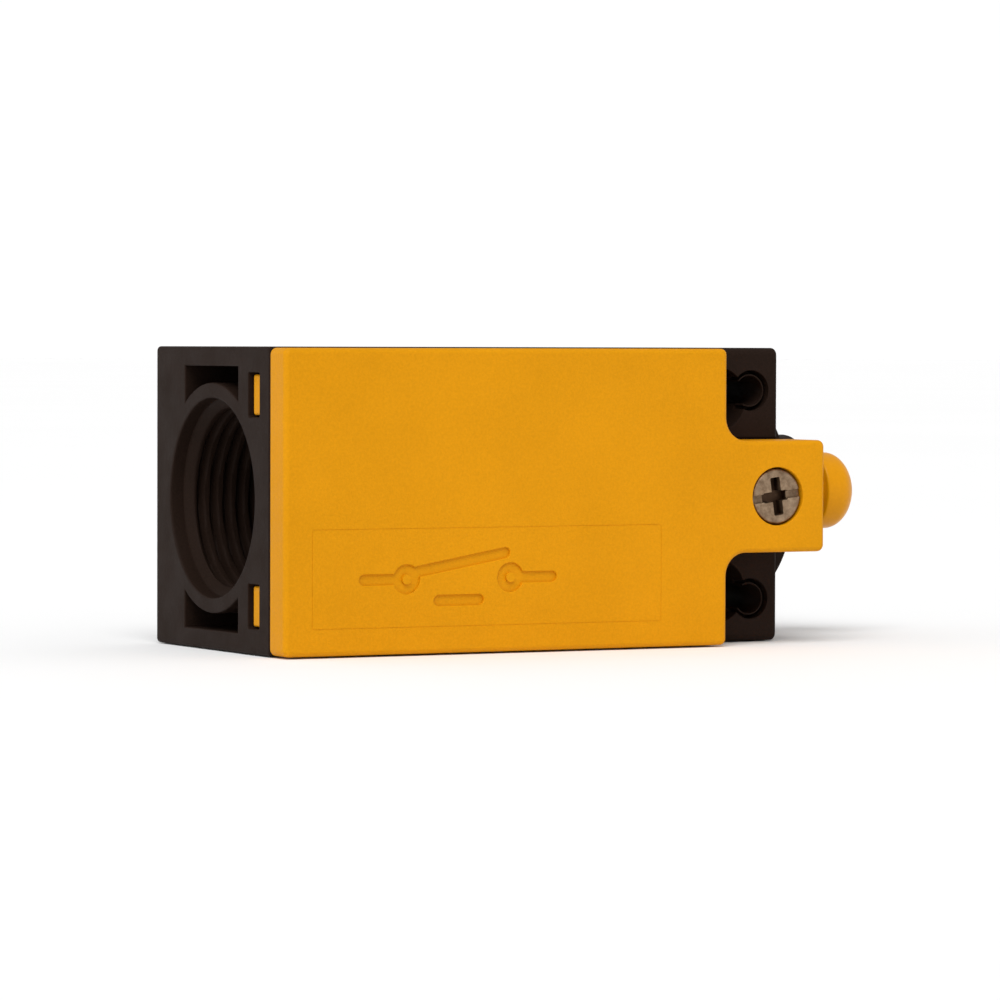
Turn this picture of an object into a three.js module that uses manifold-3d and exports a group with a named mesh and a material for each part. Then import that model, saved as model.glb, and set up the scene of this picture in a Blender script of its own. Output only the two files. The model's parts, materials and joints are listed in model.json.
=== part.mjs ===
// A plunger-operated limit switch: black base, hinged yellow cover, domed plunger with a bayonet
// collar, threaded cable entry and a double-break contact block.
//
// Millimetres. The design is drawn with X along the body from the cable end (0) to the plunger,
// Y from the cover joint plane (0) into the depth (the cover is at negative Y), and Z across the
// width from the centre line. The exported group then stands it on its long side, centred in X and Y.
import * as THREE from 'three';
import { mergeVertices } from 'three/addons/utils/BufferGeometryUtils.js';
import Module from 'manifold-3d';

const wasm = await Module();
wasm.setup();

// ---- driving dimensions ----
const BODY = { length: 60.8, halfWidth: 15.5, depth: 27.9, corner: 0.9 };
const CAVITY = { x0: 10, x1: 46.5, halfWidth: 13.2, floor: 25.4 };
const HOOK_CHANNEL = { wall: 1.6, floor: 6.2 };
const AXIS_Y = 14; // plunger and carrier line
const ENTRY = { y: 13.95, boss: 11.8, rim: 10.2, thread: 9.2, crest: 9.95, pitch: 1.5, turns: 5 };
const END_POCKET = { y0: 7.6, y1: 20.6, halfWidth: 13.5, depth: 7 };
const HOOK_SLOT = { y0: 2.5, y1: 5.1, z0: 8.4, z1: 12.9 };
const EAR = { level: 3, x0: 50.5, holeX: 57.5, holeZ: 11, hole: 2.15 };
const TONGUE_SEAT = { level: 3.2, halfWidth: 6.1 };
const EAR_RELIEF = { x: 53.5, z: 10.1, radius: 3.3, depth: 5 };
const COVER = { front: -3.5, joint: -0.08, halfWidth: 15.4, wideEnd: 50.9, skin: 1.8, skirt: 1.5 };
const TONGUE = { halfWidth: 5.85, end: 62.75, bottom: 2.8, fillet: 2.4, corner: 0.7 };
const COVER_SCREW = { x: 57, head: 2.88, top: -3.3, recess: 3.08, recessFloor: -0.9, hole: 1.9 };
const INSERT = { radius: 2.5, top: 3.3, bottom: 7.8, hole: 2.6 };
const COLLAR = { neck: 5.4, flange: 10.3, lug: 11.45, spigot: 6.1, bore: 3.3, counterbore: 4.4 };
const COLLAR_X = { inner: 45.2, seat: 60.85, flange: 62.7, counterbore: 64.4, end: 68.5 };
const PLUNGER = { stem: 3, foot: 44.9, rim: 71.4, straight: 1.8, head: 4.14, dome: 2.72 };
const BLOCK = { x0: 14.4, x1: 44.6, halfWidth: 12.8, top: 9, bottom: 25.2, wireFloor: 17, wireX: 23.6 };
const CHANNEL = { halfWidth: 3.4, floor: 18.4, chamberHalfWidth: 7.4, chamberFloor: 17.6 };
const CARRIER = { x0: 25.4, x1: 44.8, halfWidth: 3, y0: 10, y1: 18 };
const BRIDGE = { thickness: 0.8, halfLength: 6.2, halfHeight: 2, contactZ: 5, rivet: 1.2, rivetHeight: 0.25 };
const PAD = { y0: 10.2, y1: 11.2, z0: 6.6, z1: 12.4, length: 6.4, screwZ: 9.6, hole: 1.75 };
const BLOCK_SCREW = { x: 18, hole: 1.6, end: 26.8 };
const BLADE = { thickness: 0.8, z0: 3.9, bottom: 16.5, rivet: 1.3 };
// The two contact pairs. side is +1 where the fixed contacts lie on the plunger side of the bridge.
const CONTACTS = [
  {
    name: 'nc', side: 1, bridgeX: 40.7, bladeX: 41.7, rivetTip: 41.4, padX0: 36.1,
    window: [37.1, 43.25], chamber: [35.9, 42.8],
  },
  {
    name: 'no', side: -1, bridgeX: 30.3, bladeX: 26, rivetTip: 27.15, padX0: 26,
    window: [29.8, 35.9], chamber: [25.7, 31.4],
  },
];
const SIDES = [{ name: 'upper', sign: 1 }, { name: 'lower', sign: -1 }];
const ROUND = { small: 14, medium: 28, large: 48 };

// ---- materials ----
function plastic(color, roughness) {
  return new THREE.MeshStandardMaterial({ color, roughness, metalness: 0 });
}
function metal(color, roughness) {
  return new THREE.MeshStandardMaterial({ color, roughness, metalness: 1 });
}
const MATERIALS = {
  black: plastic(0x2a201c, 0.5),
  yellow: plastic(0xe2990d, 0.55),
  yellowGloss: plastic(0xe09a08, 0.3),
  ivory: plastic(0xd9d2bf, 0.5),
  grey: plastic(0x3d4043, 0.5),
  red: plastic(0x9c2a22, 0.5),
  rubber: plastic(0x17181a, 0.8),
  steel: metal(0xb9b6b0, 0.35),
  brass: metal(0xc8a050, 0.3),
  copper: metal(0xc4824f, 0.3),
};

// ---- solids ----
/** A closed mesh as a solid that can be joined and cut. */
function solid(geometry) {
  const bare = geometry.clone();
  bare.deleteAttribute('normal');
  bare.deleteAttribute('uv');
  const merged = mergeVertices(bare, 1e-5);
  const index = merged.getIndex().array;
  const kept = [];
  for (let i = 0; i < index.length; i += 3) {
    const [a, b, c] = [index[i], index[i + 1], index[i + 2]];
    if (a !== b && b !== c && c !== a) kept.push(a, b, c);
  }
  const vertProperties = new Float32Array(merged.getAttribute('position').array);
  const mesh = new wasm.Mesh({ numProp: 3, vertProperties, triVerts: new Uint32Array(kept) });
  return new wasm.Manifold(mesh);
}

/** A solid as a three.js geometry. */
function geometryOf(body) {
  const mesh = body.getMesh();
  const geometry = new THREE.BufferGeometry();
  geometry.setAttribute('position', new THREE.BufferAttribute(new Float32Array(mesh.vertProperties), 3));
  geometry.setIndex(new THREE.BufferAttribute(new Uint32Array(mesh.triVerts), 1));
  geometry.computeVertexNormals();
  return geometry;
}

function block(x0, x1, y0, y1, z0, z1) {
  const box = new THREE.BoxGeometry(x1 - x0, y1 - y0, z1 - z0);
  return solid(box.translate((x0 + x1) / 2, (y0 + y1) / 2, (z0 + z1) / 2));
}

/** A rod along X. */
function rodX(radius, x0, x1, y, z, segments = ROUND.medium) {
  const rod = new THREE.CylinderGeometry(radius, radius, x1 - x0, segments).rotateZ(-Math.PI / 2);
  return solid(rod.translate((x0 + x1) / 2, y, z));
}

/** A rod along Y. */
function rodY(radius, y0, y1, x, z, segments = ROUND.medium) {
  const rod = new THREE.CylinderGeometry(radius, radius, y1 - y0, segments);
  return solid(rod.translate(x, (y0 + y1) / 2, z));
}

/** An outline drawn in X and Z, given thickness from y0 to y1. */
function plateY(shape, y0, y1, curveSegments = 6) {
  const plate = new THREE.ExtrudeGeometry(shape, { depth: y1 - y0, bevelEnabled: false, curveSegments });
  return solid(plate.rotateX(Math.PI / 2).translate(0, y1, 0));
}

/** An outline drawn in X and Y, given thickness from z0 to z1. */
function plateZ(shape, z0, z1, curveSegments = 6) {
  const plate = new THREE.ExtrudeGeometry(shape, { depth: z1 - z0, bevelEnabled: false, curveSegments });
  return solid(plate.translate(0, 0, z0));
}

/** A profile of [radius, x] points turned about the X-directed line through (y, z). */
function turnedX(profile, y, z, segments = ROUND.medium) {
  const points = profile.map(([radius, x]) => new THREE.Vector2(radius, x));
  return solid(new THREE.LatheGeometry(points, segments).rotateZ(-Math.PI / 2).translate(0, y, z));
}

/** A profile of [radius, y] points turned about the Y-directed line through (x, z). */
function turnedY(profile, x, z, segments = ROUND.medium) {
  const points = profile.map(([radius, y]) => new THREE.Vector2(radius, y));
  return solid(new THREE.LatheGeometry(points, segments).translate(x, 0, z));
}

function polygon(points) {
  return new THREE.Shape(points.map(([x, y]) => new THREE.Vector2(x, y)));
}

function roundedRectangle(x0, x1, y0, y1, r) {
  const shape = new THREE.Shape();
  shape.moveTo(x0 + r, y0);
  shape.lineTo(x1 - r, y0);
  shape.absarc(x1 - r, y0 + r, r, -Math.PI / 2, 0, false);
  shape.lineTo(x1, y1 - r);
  shape.absarc(x1 - r, y1 - r, r, 0, Math.PI / 2, false);
  shape.lineTo(x0 + r, y1);
  shape.absarc(x0 + r, y1 - r, r, Math.PI / 2, Math.PI, false);
  shape.lineTo(x0, y0 + r);
  shape.absarc(x0 + r, y0 + r, r, Math.PI, Math.PI * 1.5, false);
  return shape;
}

/** A coil of round wire about the X-directed axis line, as one closed tube. */
class Helix extends THREE.Curve {
  constructor(radius, x0, x1, turns) {
    super();
    Object.assign(this, { radius, x0, x1, turns });
  }

  getPoint(t, target = new THREE.Vector3()) {
    const angle = t * this.turns * Math.PI * 2;
    const x = this.x0 + (this.x1 - this.x0) * t;
    return target.set(x, AXIS_Y + this.radius * Math.cos(angle), this.radius * Math.sin(angle));
  }
}

function coil(radius, wire, x0, x1, turns) {
  const section = new THREE.Shape().absarc(0, 0, wire / 2, 0, Math.PI * 2, false);
  const path = new Helix(radius, x0 + wire / 2, x1 - wire / 2, turns);
  const options = { steps: Math.round(turns * 11), curveSegments: 3, extrudePath: path };
  return new THREE.ExtrudeGeometry(section, options);
}

// ---- base ----
/** The cable entry: a counterbore, a lead-in and the turns of the internal thread. */
function entryBore() {
  const threadStart = 2.6;
  const profile = [[0, -1], [ENTRY.rim, -1], [ENTRY.rim, 1.4], [ENTRY.rim - 0.3, 1.4], [ENTRY.thread, 2.2]];
  for (let turn = 0; turn < ENTRY.turns; turn += 1) {
    const x = threadStart + turn * ENTRY.pitch;
    profile.push([ENTRY.thread, x], [ENTRY.crest, x + 0.55]);
    profile.push([ENTRY.crest, x + 0.75], [ENTRY.thread, x + 1.3]);
  }
  profile.push([ENTRY.thread, CAVITY.x0 + 0.5], [0, CAVITY.x0 + 0.5]);
  return turnedX(profile, ENTRY.y, 0, ROUND.large);
}

function baseHousing() {
  const boss = rodX(ENTRY.boss, -2, CAVITY.x0 + 2, ENTRY.y, 0, ROUND.large);
  const half = BODY.halfWidth;
  let base = plateY(roundedRectangle(0, BODY.length, -half, half, BODY.corner), 0, BODY.depth);
  base = base.subtract(block(EAR.x0, 62, -1, EAR.level, -16, 16));
  const seat = TONGUE_SEAT;
  base = base.subtract(block(EAR.x0, 62, -1, seat.level, -seat.halfWidth, seat.halfWidth));
  base = base.subtract(block(CAVITY.x0, CAVITY.x1, -1, CAVITY.floor, -CAVITY.halfWidth, CAVITY.halfWidth));
  const channel = block(HOOK_CHANNEL.wall, CAVITY.x0 + 0.1, -1, HOOK_CHANNEL.floor,
    -CAVITY.halfWidth, CAVITY.halfWidth);
  base = base.subtract(channel.subtract(boss));
  base = base.subtract(entryBore());
  const slotChamfer = polygon([[1.65, 1.75], [1.65, 2.55], [0.85, 2.55]]);
  for (const { sign } of SIDES) {
    const pocket = block(-1, END_POCKET.depth, END_POCKET.y0, END_POCKET.y1, 8, END_POCKET.halfWidth);
    const slot = block(-1, 1.7, HOOK_SLOT.y0, HOOK_SLOT.y1, HOOK_SLOT.z0, HOOK_SLOT.z1);
    const cut = pocket.subtract(boss).add(slot).add(plateZ(slotChamfer, HOOK_SLOT.z0, HOOK_SLOT.z1));
    base = base.subtract(sign > 0 ? cut : cut.mirror([0, 0, 1]));
    base = base.subtract(rodY(EAR.hole, 1, 30, EAR.holeX, sign * EAR.holeZ));
    const reliefEnd = EAR.level + EAR_RELIEF.depth;
    base = base.subtract(rodY(EAR_RELIEF.radius, 2.5, reliefEnd, EAR_RELIEF.x, sign * EAR_RELIEF.z));
    const { x, hole, end } = BLOCK_SCREW;
    base = base.subtract(rodY(hole, 25, end + 0.3, x, sign * PAD.screwZ, ROUND.small));
  }
  base = base.subtract(rodX(COLLAR.neck + 0.1, 46, 62, AXIS_Y, 0));
  return base.subtract(rodY(INSERT.hole, 2, INSERT.bottom + 0.1, COVER_SCREW.x, 0, ROUND.small));
}

/** The collar: neck in the base, bayonet flange with two lugs, and the spigot round the plunger. */
function headCollar() {
  const X = COLLAR_X;
  const body = turnedX([
    [0, X.inner], [COLLAR.neck - 0.4, X.inner], [COLLAR.neck, X.inner + 0.4], [COLLAR.neck, 45.7],
    [4.9, 45.7], [4.9, 46.45], [COLLAR.neck, 46.45], [COLLAR.neck, X.seat], [COLLAR.flange, X.seat],
    [COLLAR.flange, X.flange], [COLLAR.spigot, X.flange], [COLLAR.spigot, X.end - 0.5],
    [COLLAR.spigot - 0.5, X.end], [0, X.end],
  ], AXIS_Y, 0, ROUND.large);
  const bore = turnedX([
    [0, 44], [COLLAR.bore, 44], [COLLAR.bore, 58], [4.3, 58], [4.3, 59.8], [COLLAR.bore, 59.8],
    [COLLAR.bore, X.counterbore], [COLLAR.counterbore, X.counterbore], [COLLAR.counterbore, 70], [0, 70],
  ], AXIS_Y, 0);
  const disc = rodX(COLLAR.lug, X.seat, X.flange, AXIS_Y, 0, ROUND.large);
  const wedge = polygon([[0, 0], [-14, 5], [-14, 20], [-8, 20]]);
  const lugSector = plateZ(wedge, X.seat - 1, X.flange + 1).rotate([0, 90, 0]).translate([0, AXIS_Y, 0]);
  const lugs = disc.intersect(lugSector.add(lugSector.rotate([180, 0, 0]).translate([0, 2 * AXIS_Y, 0])));
  return body.add(lugs).subtract(bore);
}

/** A spring clip in the collar's groove, inside the base, open on one side. */
function collarClip() {
  const ring = turnedX([[4.95, 45.8], [6.4, 45.8], [6.4, 46.4], [4.95, 46.4], [4.95, 45.8]], AXIS_Y, 0);
  return ring.subtract(block(45, 47, AXIS_Y, AXIS_Y + 8, -2.2, 2.2));
}

/** A brass bush with a retaining groove. The cover screw's shank passes down it with clearance. */
function threadedInsert() {
  const { radius, top, bottom } = INSERT;
  return turnedY([
    [1.9, top], [radius, top], [radius, 4.9], [2.2, 5.1], [2.2, 5.7], [radius, 5.9], [radius, bottom],
    [1.9, bottom], [1.9, top],
  ], COVER_SCREW.x, 0, ROUND.small);
}

// ---- cover ----
/** The cover's front outline: a rectangle that steps in to the tongue over two hollow fillets. */
function coverOutline() {
  const { halfWidth: half, wideEnd } = COVER;
  const { halfWidth: tongue, end, fillet, corner } = TONGUE;
  const shape = new THREE.Shape();
  const r = BODY.corner;
  shape.moveTo(r, -half);
  shape.lineTo(wideEnd - 0.5, -half);
  shape.absarc(wideEnd - 0.5, -half + 0.5, 0.5, -Math.PI / 2, 0, false);
  shape.lineTo(wideEnd, -tongue - fillet);
  shape.absarc(wideEnd + fillet, -tongue - fillet, fillet, Math.PI, Math.PI / 2, true);
  shape.lineTo(end - corner, -tongue);
  shape.absarc(end - corner, -tongue + corner, corner, -Math.PI / 2, 0, false);
  shape.lineTo(end, tongue - corner);
  shape.absarc(end - corner, tongue - corner, corner, 0, Math.PI / 2, false);
  shape.lineTo(wideEnd + fillet, tongue);
  shape.absarc(wideEnd + fillet, tongue + fillet, fillet, -Math.PI / 2, Math.PI, true);
  shape.lineTo(wideEnd, half - 0.5);
  shape.absarc(wideEnd - 0.5, half - 0.5, 0.5, 0, Math.PI / 2, false);
  shape.lineTo(r, half);
  shape.absarc(r, half - r, r, Math.PI / 2, Math.PI, false);
  shape.lineTo(0, -half + r);
  shape.absarc(r, -half + r, r, Math.PI, Math.PI * 1.5, false);
  return shape;
}

/** One hook: an arm behind the end wall, with a nose that reaches out into the wall's slot. */
function coverHook() {
  const outline = polygon([
    [2, -1.7], [3.3, -1.7], [3.3, 4.9], [0.8, 4.9], [0.35, 4.5], [0.35, 2.75], [2, 2.75],
  ]);
  return plateZ(outline, HOOK_SLOT.z0 + 0.2, HOOK_SLOT.z1 - 0.2);
}

function frontCover() {
  const inside = COVER.halfWidth - COVER.skirt;
  const ceiling = COVER.front + COVER.skin;
  const screw = COVER_SCREW;
  let cover = plateY(coverOutline(), COVER.front, COVER.joint);
  const tongueOutline = roundedRectangle(COVER.wideEnd + 0.1, TONGUE.end, -TONGUE.halfWidth,
    TONGUE.halfWidth, TONGUE.corner);
  cover = cover.add(plateY(tongueOutline, COVER.front + 1, TONGUE.bottom));
  cover = cover.subtract(block(0.9, 49.3, ceiling, 1, -inside, inside));
  const tongueHollow = block(52.2, TONGUE.end - 1.2, -1.3, 4, -4.5, 4.5);
  const bossSides = rodY(3.5, -2, 1.9, screw.x, 0);
  cover = cover.subtract(tongueHollow.subtract(bossSides));
  cover = cover.subtract(rodY(screw.recess, -5, screw.recessFloor, screw.x, 0));
  cover = cover.subtract(rodY(screw.hole, -2, 5, screw.x, 0));
  const sunkMark = roundedRectangle(8, 31, -10.9, -4.8, 0.4);
  cover = cover.subtract(plateY(sunkMark, COVER.front - 1, COVER.front + 0.3));
  const hook = coverHook();
  return cover.add(hook).add(hook.mirror([0, 0, 1]));
}

function coverGasket() {
  const outer = block(1, 49.2, -1.6, -0.04, -13.8, 13.8);
  return outer.subtract(block(1.9, 48.3, -2, 1, -12.75, 12.75));
}

/** The captive cover screw, with a straight slot and a cross recess in its head. */
function coverScrew() {
  const { x, head, top } = COVER_SCREW;
  const body = turnedY([
    [0, 7], [1, 7], [1.45, 6.5], [1.45, 3], [1.6, 2.9], [1.6, -0.95], [head, -0.95],
    [head, top + 0.25], [head - 0.25, top], [0, top],
  ].reverse(), x, 0);
  const slot = block(x - 4, x + 4, top - 1, top + 0.8, -0.45, 0.45);
  const cross = block(x - 0.5, x + 0.5, top - 1, top + 1.1, -1.7, 1.7);
  return body.subtract(slot).subtract(cross);
}

/** The washer that keeps the cover screw in the cover. */
function screwRetainer() {
  return turnedY([
    [1.68, 1.95], [2.9, 1.95], [2.9, 2.45], [1.68, 2.45], [1.68, 1.95],
  ], COVER_SCREW.x, 0, ROUND.small);
}

// ---- plunger ----
function plunger() {
  const { stem, foot, rim, straight, head, dome } = PLUNGER;
  const profile = [[0, foot], [stem - 0.3, foot], [stem, foot + 0.3], [stem, rim], [head - 0.15, rim]];
  profile.push([head, rim + 0.15]);
  const arcSteps = 9;
  for (let step = 0; step < arcSteps; step += 1) {
    const angle = (step / arcSteps) * Math.PI / 2;
    profile.push([head * Math.cos(angle), rim + straight + dome * Math.sin(angle)]);
  }
  profile.push([0, rim + straight + dome]);
  return turnedX(profile, AXIS_Y, 0);
}

/** A lip seal in the collar's groove, wiping the stem. */
function plungerSeal() {
  return turnedX([
    [3.06, 58.6], [3.4, 58.1], [4.22, 58.1], [4.22, 59.7], [3.4, 59.7], [3.06, 59.2], [3.06, 58.6],
  ], AXIS_Y, 0);
}

// ---- contact block ----
function padCentre(contact) {
  return contact.padX0 + PAD.length / 2;
}

/** The chamber that one bridge moves in, with its fixed blades. */
function chamber(contact) {
  const [x0, x1] = contact.chamber;
  const half = CHANNEL.chamberHalfWidth;
  return block(x0, x1, BLOCK.top - 1, CHANNEL.chamberFloor, -half, half);
}

function contactBlockBody() {
  const half = BLOCK.halfWidth;
  let body = block(BLOCK.x0, BLOCK.x1, BLOCK.top, BLOCK.bottom, -half, half);
  const ribs = block(33.3, 35.3, 6, BLOCK.top + 1, 6.5, half);
  body = body.add(ribs).add(ribs.mirror([0, 0, 1]));
  const slide = CHANNEL.halfWidth;
  body = body.subtract(block(BLOCK.x0 + 1.6, 46, BLOCK.top - 1, CHANNEL.floor, -slide, slide));
  for (const contact of CONTACTS) body = body.subtract(chamber(contact));
  for (const { sign } of SIDES) {
    const wireRoom = block(14, BLOCK.wireX, BLOCK.top - 1, BLOCK.wireFloor, 5.2, half + 1);
    body = body.subtract(sign > 0 ? wireRoom : wireRoom.mirror([0, 0, 1]));
    body = body.subtract(rodY(BLOCK_SCREW.hole, 16, 26, BLOCK_SCREW.x, sign * PAD.screwZ, ROUND.small));
    for (const contact of CONTACTS) {
      const x0 = contact.padX0 - 0.15;
      const seat = block(x0, x0 + PAD.length + 0.3, BLOCK.top - 1, PAD.y1 + 0.05, 6.3, half + 1);
      body = body.subtract(sign > 0 ? seat : seat.mirror([0, 0, 1]));
      body = body.subtract(rodY(PAD.hole, 10, 16, padCentre(contact), sign * PAD.screwZ, ROUND.small));
    }
  }
  return body;
}

function contactBlockLid() {
  const wide = block(24.4, BLOCK.x1, 7.8, BLOCK.top - 0.05, -6.2, 6.2);
  const narrow = block(BLOCK.x0 + 0.1, 25, 7.8, BLOCK.top - 0.05, -5, 5);
  const rib = block(BLOCK.x0 + 2, BLOCK.x1 - 2, 7.4, 8, -0.8, 0.8);
  return wide.add(narrow).add(rib);
}

/** The carrier: a bar with one window for each bridge and a socket for the return spring. */
function contactCarrier() {
  const { x0, x1, halfWidth: half, y0, y1 } = CARRIER;
  let carrier = block(x0, x1, y0, y1, -half, half);
  for (const { window } of CONTACTS) {
    carrier = carrier.subtract(block(window[0], window[1], 11.3, 16.7, -half - 1, half + 1));
  }
  return carrier.subtract(rodX(2.35, x0 - 1, x0 + 3, AXIS_Y, 0, ROUND.small));
}

function bridge(contact) {
  const { thickness, halfLength, halfHeight, contactZ, rivet, rivetHeight } = BRIDGE;
  const face = contact.bridgeX + contact.side * thickness / 2;
  const tip = face + contact.side * rivetHeight;
  const [x0, x1] = [contact.bridgeX - thickness / 2, contact.bridgeX + thickness / 2];
  let strip = block(x0, x1, AXIS_Y - halfHeight, AXIS_Y + halfHeight, -halfLength, halfLength);
  for (const { sign } of SIDES) {
    const [low, high] = [Math.min(contact.bridgeX, tip), Math.max(contact.bridgeX, tip)];
    strip = strip.add(rodX(rivet, low, high, AXIS_Y, sign * contactZ, ROUND.small));
  }
  return strip;
}

/** A fixed contact: a clamping pad, a blade that turns down beside the carrier, and its rivet. */
function terminal(contact, sign) {
  const x0 = contact.padX0;
  const blade = contact.bladeX;
  let body = block(x0, x0 + PAD.length, PAD.y0, PAD.y1, PAD.z0, PAD.z1);
  body = body.add(block(blade, blade + BLADE.thickness, PAD.y0, BLADE.bottom, BLADE.z0, 7.2));
  const [low, high] = contact.side > 0 ? [contact.rivetTip, blade + 0.3] : [blade + 0.3, contact.rivetTip];
  body = body.add(rodX(BLADE.rivet, low, high, AXIS_Y, BRIDGE.contactZ, ROUND.small));
  body = body.subtract(rodY(PAD.hole, 9, 12, padCentre(contact), PAD.screwZ, ROUND.small));
  return sign > 0 ? body : body.mirror([0, 0, 1]);
}

function clampPlate(contact, sign) {
  const x = padCentre(contact);
  const z = sign * PAD.screwZ;
  const plate = block(x - 2.9, x + 2.9, 9.3, 10.15, z - 2.6, z + 2.6);
  return plate.subtract(rodY(PAD.hole, 8, 11, x, z, ROUND.small));
}

function terminalScrew(contact, sign) {
  const x = padCentre(contact);
  const z = sign * PAD.screwZ;
  const body = turnedY([
    [0, 15.5], [1.2, 15.5], [1.6, 15], [1.6, 9.25], [2.9, 9.25], [2.9, 7.2], [2.6, 6.9], [0, 6.9],
  ].reverse(), x, z, ROUND.small);
  return body.subtract(block(x - 4, x + 4, 6, 8, z - 0.4, z + 0.4));
}

function blockScrew(sign) {
  const { x, end } = BLOCK_SCREW;
  const z = sign * PAD.screwZ;
  const body = turnedY([
    [0, end], [1.1, end], [1.4, 26.4], [1.4, 16.95], [2.7, 16.95], [2.7, 15.2], [2.4, 14.9], [0, 14.9],
  ].reverse(), x, z, ROUND.small);
  return body.subtract(block(x - 4, x + 4, 14, 15.9, z - 0.4, z + 0.4));
}

// ---- assembly ----
const limitSwitch = new THREE.Group();
const assembly = new THREE.Group();
const overallLength = PLUNGER.rim + PLUNGER.straight + PLUNGER.dome;
assembly.position.set(-overallLength / 2, -(COVER.front + BODY.depth) / 2, BODY.halfWidth);
limitSwitch.add(assembly);

function place(name, shape, material) {
  const geometry = shape.isBufferGeometry ? shape : geometryOf(shape);
  const mesh = new THREE.Mesh(geometry, material);
  mesh.name = name;
  assembly.add(mesh);
}

place('base_housing', baseHousing(), MATERIALS.black);
place('threaded_insert', threadedInsert(), MATERIALS.brass);
place('front_cover', frontCover(), MATERIALS.yellow);
place('cover_gasket', coverGasket(), MATERIALS.rubber);
place('cover_screw', coverScrew(), MATERIALS.steel);
place('screw_retainer', screwRetainer(), MATERIALS.ivory);
place('head_collar', headCollar(), MATERIALS.black);
place('collar_clip', collarClip(), MATERIALS.steel);
place('plunger', plunger(), MATERIALS.yellowGloss);
place('plunger_seal', plungerSeal(), MATERIALS.rubber);
place('contact_block_body', contactBlockBody(), MATERIALS.grey);
place('contact_block_lid', contactBlockLid(), MATERIALS.ivory);
place('contact_carrier', contactCarrier(), MATERIALS.red);
place('return_spring', coil(1.8, 0.6, 16.05, 28.35, 6), MATERIALS.steel);
place('nc_bridge_spring', coil(1.4, 0.4, 37.15, 40.25, 4), MATERIALS.steel);
place('no_bridge_spring', coil(1.4, 0.4, 30.75, 35.85, 4), MATERIALS.steel);
for (const contact of CONTACTS) {
  place(`${contact.name}_bridge`, bridge(contact), MATERIALS.copper);
  for (const { name, sign } of SIDES) {
    place(`${contact.name}_terminal_${name}`, terminal(contact, sign), MATERIALS.brass);
    place(`${contact.name}_clamp_plate_${name}`, clampPlate(contact, sign), MATERIALS.steel);
    place(`${contact.name}_terminal_screw_${name}`, terminalScrew(contact, sign), MATERIALS.steel);
  }
}
for (const { name, sign } of SIDES) place(`block_screw_${name}`, blockScrew(sign), MATERIALS.steel);

export default limitSwitch;
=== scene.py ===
import json
import math

import bmesh
import bpy
from mathutils import Matrix, Vector


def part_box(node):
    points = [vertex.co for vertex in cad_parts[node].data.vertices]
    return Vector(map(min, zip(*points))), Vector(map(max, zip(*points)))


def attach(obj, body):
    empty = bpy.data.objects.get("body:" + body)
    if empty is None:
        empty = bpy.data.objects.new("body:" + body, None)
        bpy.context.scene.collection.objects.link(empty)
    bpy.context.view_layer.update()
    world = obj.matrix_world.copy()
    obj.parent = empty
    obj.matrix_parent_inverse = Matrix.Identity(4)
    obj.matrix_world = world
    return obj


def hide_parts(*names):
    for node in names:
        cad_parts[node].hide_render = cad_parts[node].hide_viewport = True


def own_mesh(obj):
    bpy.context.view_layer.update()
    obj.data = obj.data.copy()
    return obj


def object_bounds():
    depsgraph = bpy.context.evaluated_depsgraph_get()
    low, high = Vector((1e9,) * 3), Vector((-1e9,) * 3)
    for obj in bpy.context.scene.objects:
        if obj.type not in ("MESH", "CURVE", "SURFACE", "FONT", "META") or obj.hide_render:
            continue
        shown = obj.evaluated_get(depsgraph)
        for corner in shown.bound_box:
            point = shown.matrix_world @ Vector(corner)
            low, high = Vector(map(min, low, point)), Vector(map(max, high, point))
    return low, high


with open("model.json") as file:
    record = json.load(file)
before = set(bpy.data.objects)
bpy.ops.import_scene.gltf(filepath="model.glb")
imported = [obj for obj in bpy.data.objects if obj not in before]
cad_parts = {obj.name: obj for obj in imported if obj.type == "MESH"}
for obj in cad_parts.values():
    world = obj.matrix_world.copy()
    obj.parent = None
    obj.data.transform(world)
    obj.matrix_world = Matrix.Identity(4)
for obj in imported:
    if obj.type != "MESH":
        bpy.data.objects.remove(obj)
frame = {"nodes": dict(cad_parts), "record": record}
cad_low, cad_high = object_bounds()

MM = 0.001
base_low, base_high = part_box("base_housing")
ORIGIN = Vector((base_low.x, base_low.y, (base_low.z + base_high.z) / 2))


def reach(node):
    """Lowest and highest corner of a CAD node, in the drawing's millimetres."""
    low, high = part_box(node)
    return (low - ORIGIN) / MM, (high - ORIGIN) / MM


# ---- sizes that the frame gives ----
LENGTH, DEPTH = reach("base_housing")[1].xy
HALF = reach("base_housing")[1].z
COVER_FRONT = reach("front_cover")[0].y
COVER_HALF = reach("front_cover")[1].z
TONGUE_END = reach("front_cover")[1].x
AXIS_Y = (reach("plunger")[0].y + reach("plunger")[1].y) / 2
TIP = reach("plunger")[1].x
STEM_FOOT = reach("plunger")[0].x
COLLAR_LOW, COLLAR_HIGH = reach("head_collar")
SCREW_X = (reach("cover_screw")[0].x + reach("cover_screw")[1].x) / 2
SCREW_TOP = reach("cover_screw")[0].y
SCREW_END = reach("cover_screw")[1].y
SCREW_HEAD = (reach("cover_screw")[1].x - reach("cover_screw")[0].x) / 2
PLUNGER_HEAD = (reach("plunger")[1].y - reach("plunger")[0].y) / 2
BODY_OF = {node: body for body, nodes in frame["record"]["behaviour"]["bodies"].items() for node in nodes}

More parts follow.
